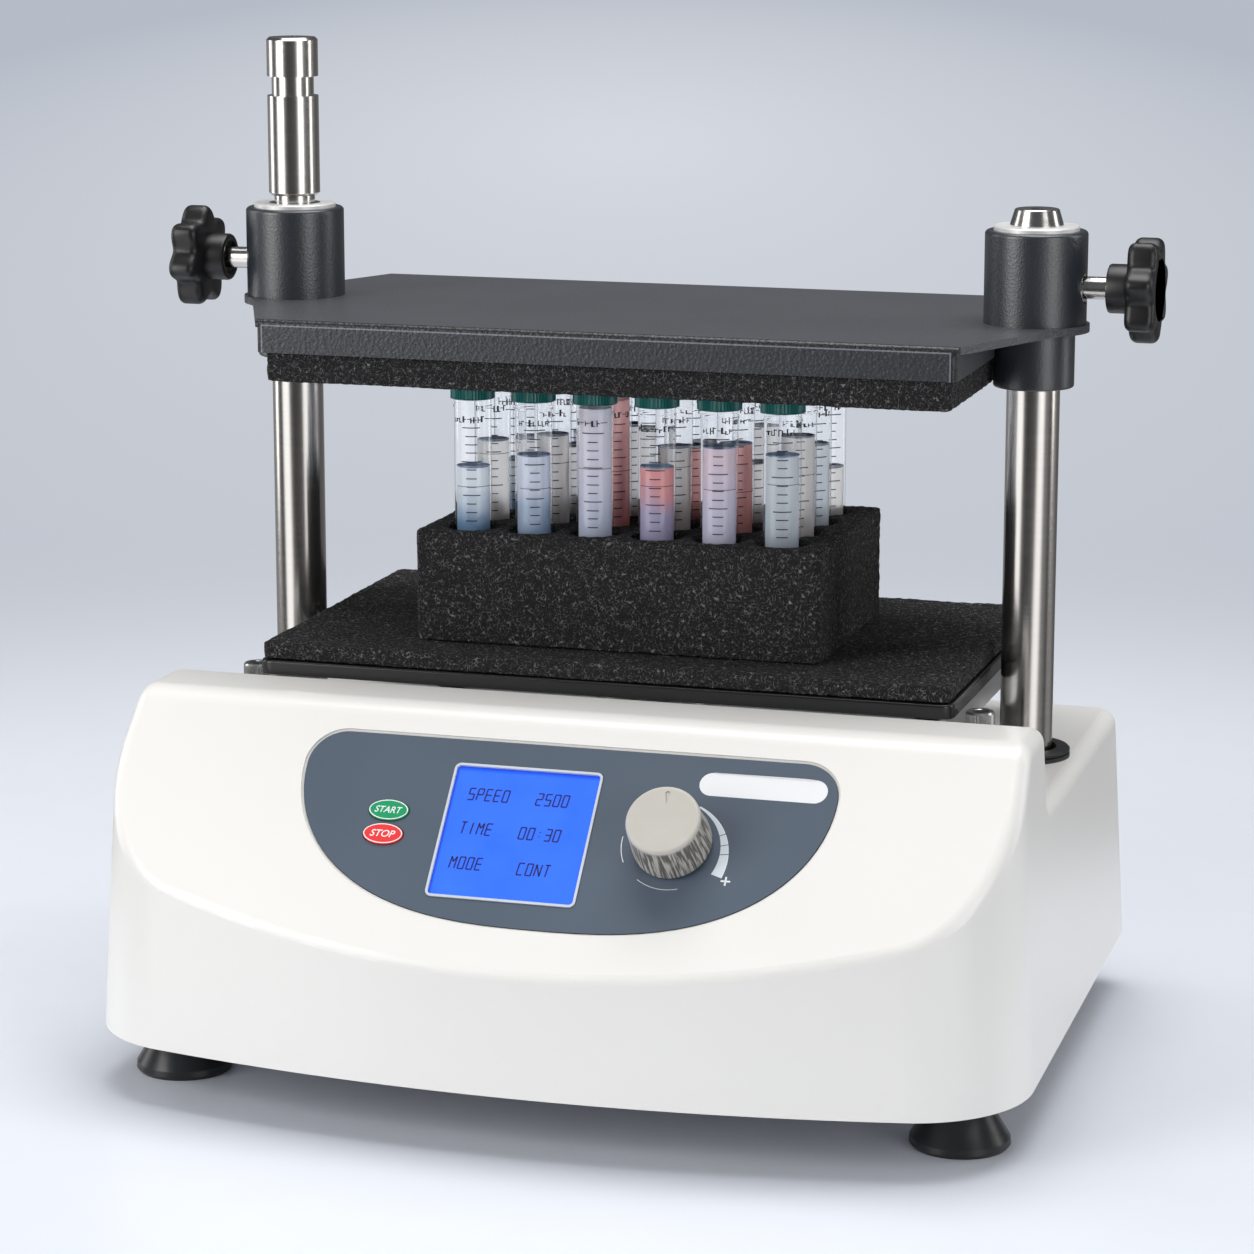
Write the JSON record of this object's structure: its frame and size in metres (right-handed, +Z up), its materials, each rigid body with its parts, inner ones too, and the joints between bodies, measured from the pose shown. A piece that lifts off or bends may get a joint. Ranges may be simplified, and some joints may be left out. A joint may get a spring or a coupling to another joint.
{
  "type": "multi-tube vortex mixer",
  "caption": "Bench-top vortex mixer: wide housing with sloping control console, orbiting foam-lined tray with a tube rack, and a clamp plate sliding on guide posts with star knobs.",
  "frame": {"origin": "centre of the footprint on the bench", "axes": "+X to the operator's right along the two posts, +Y from the console to the mains inlet, +Z up"},
  "size_m": [0.475, 0.333, 0.457],
  "materials": {
    "housing_plastic": "warm off-white satin",
    "galvanised_sheet": "galvanised",
    "fastener_steel": "zinc plated",
    "foot_rubber": "black, slightly glossy",
    "panel_film": "blue-grey printed film",
    "bezel_plastic": "light grey gloss",
    "display_glass": "bright blue backlit display",
    "circuit_board": "green resist",
    "dark_plastic": "black",
    "start_key": "green with a white rim",
    "stop_key": "red with a white rim",
    "knob_plastic": "warm grey, fluted",
    "motor_paint": "black",
    "machined_aluminium": "brushed",
    "weight_brass": "turned",
    "polished_steel": "polished",
    "collar_rubber": "black matt",
    "tray_paint": "black gloss",
    "foam": "open-cell black foam",
    "tube_plastic": "translucent, coloured contents",
    "cap_plastic": "dark teal, ribbed",
    "plate_paint": "charcoal textured powder coat",
    "knob_black": "black satin"
  },
  "bodies": {
    "base": {"housing_shell": "housing_plastic", "chassis_plate": "galvanised_sheet", "chassis_screws": "fastener_steel", "foot_studs": "fastener_steel", "front_left_foot": "foot_rubber", "front_right_foot": "foot_rubber", "rear_left_foot": "foot_rubber", "rear_right_foot": "foot_rubber", "control_panel": "panel_film", "lcd_bezel": "bezel_plastic", "lcd_screen": "display_glass", "control_board": "circuit_board", "key_switches": "dark_plastic", "speed_encoder": "dark_plastic", "power_board": "circuit_board", "power_inlet": "dark_plastic", "switch_frame": "dark_plastic", "motor_body": "motor_paint", "motor_plate": "galvanised_sheet", "motor_pillars": "machined_aluminium", "motor_screws": "fastener_steel", "isolator_mounts": "collar_rubber", "left_post_collar": "collar_rubber", "right_post_collar": "collar_rubber"},
    "drive": {"eccentric_shaft": "polished_steel", "counterweight": "weight_brass"},
    "platform": {"drive_bearing": "polished_steel", "bearing_housing": "machined_aluminium", "yoke_beam": "machined_aluminium", "yoke_screws": "fastener_steel", "post_bolts": "fastener_steel", "left_post": "polished_steel", "right_post": "polished_steel", "post_extension": "polished_steel", "isolator_screws": "fastener_steel", "rear_standoffs": "machined_aluminium", "carrier_plate": "machined_aluminium", "carrier_screws": "fastener_steel", "tray": "tray_paint", "base_mat": "foam", "tube_rack": "foam", "sample_tubes": "tube_plastic", "tube_caps": "cap_plastic"},
    "clamp": {"clamp_plate": "plate_paint", "upper_foam_pad": "foam", "left_hub": "plate_paint", "right_hub": "plate_paint", "hub_bushes": "polished_steel", "hub_inserts": "polished_steel"},
    "left_pad": {"left_clamp_pad": "bezel_plastic"},
    "left_screw": {"left_clamp_stud": "polished_steel", "left_clamp_knob": "knob_black"},
    "right_pad": {"right_clamp_pad": "bezel_plastic"},
    "right_screw": {"right_clamp_stud": "polished_steel", "right_clamp_knob": "knob_black"},
    "speed_dial": {"speed_knob": "knob_plastic", "encoder_shaft": "polished_steel"},
    "start_key": {"start_button": "start_key"},
    "stop_key": {"stop_button": "stop_key"},
    "mains_rocker": {"power_rocker": "dark_plastic"}
  },
  "joints": [
    {"name": "eccentric_spin", "type": "hinge", "parent": "base", "child": "drive", "pos_m": [0, 0.0527, 0.08], "axis": [0, 0, 1], "continuous": true},
    {"name": "platform_orbit", "type": "hinge", "parent": "drive", "child": "platform", "pos_m": [0, 0.0545, 0.114], "axis": [0, 0, 1], "continuous": true},
    {"name": "clamp_slide", "type": "slide", "parent": "platform", "child": "clamp", "axis": [0, 0, 1], "range_m": [0, 0.0815]},
    {"name": "left_pad_feed", "type": "slide", "parent": "clamp", "child": "left_pad", "axis": [-1, 0, 0], "range_m": [0, 0.00225]},
    {"name": "left_knob_turn", "type": "hinge", "parent": "left_pad", "child": "left_screw", "pos_m": [-0.2, 0.0545, 0.353], "axis": [-1, 0, 0], "range_deg": [0, 540]},
    {"name": "right_pad_feed", "type": "slide", "parent": "clamp", "child": "right_pad", "axis": [1, 0, 0], "range_m": [0, 0.00225]},
    {"name": "right_knob_turn", "type": "hinge", "parent": "right_pad", "child": "right_screw", "pos_m": [0.2, 0.0545, 0.353], "axis": [1, 0, 0], "range_deg": [0, 540]},
    {"name": "speed_knob_turn", "type": "hinge", "parent": "base", "child": "speed_dial", "pos_m": [0.0588, -0.1179, 0.13086], "axis": [0, -0.7399, 0.6727], "range_deg": [-150, 150]},
    {"name": "start_key_press", "type": "slide", "parent": "base", "child": "start_key", "axis": [0, 0.7399, -0.6727], "range_m": [0, 0.0006], "stiffness_N_per_m": 900},
    {"name": "stop_key_press", "type": "slide", "parent": "base", "child": "stop_key", "axis": [0, 0.7399, -0.6727], "range_m": [0, 0.0006], "stiffness_N_per_m": 900},
    {"name": "mains_rocker_tilt", "type": "hinge", "parent": "base", "child": "mains_rocker", "pos_m": [-0.072, 0.1615, 0.062], "axis": [1, 0, 0], "range_deg": [0, 16]}
  ],
  "couplings": [
    {"joint": "eccentric_spin", "follows": "platform_orbit", "ratio": -1},
    {"joint": "left_pad_feed", "follows": "left_knob_turn", "m_per_rad": 0.00023873},
    {"joint": "right_pad_feed", "follows": "right_knob_turn", "m_per_rad": 0.00023873}
  ]
}
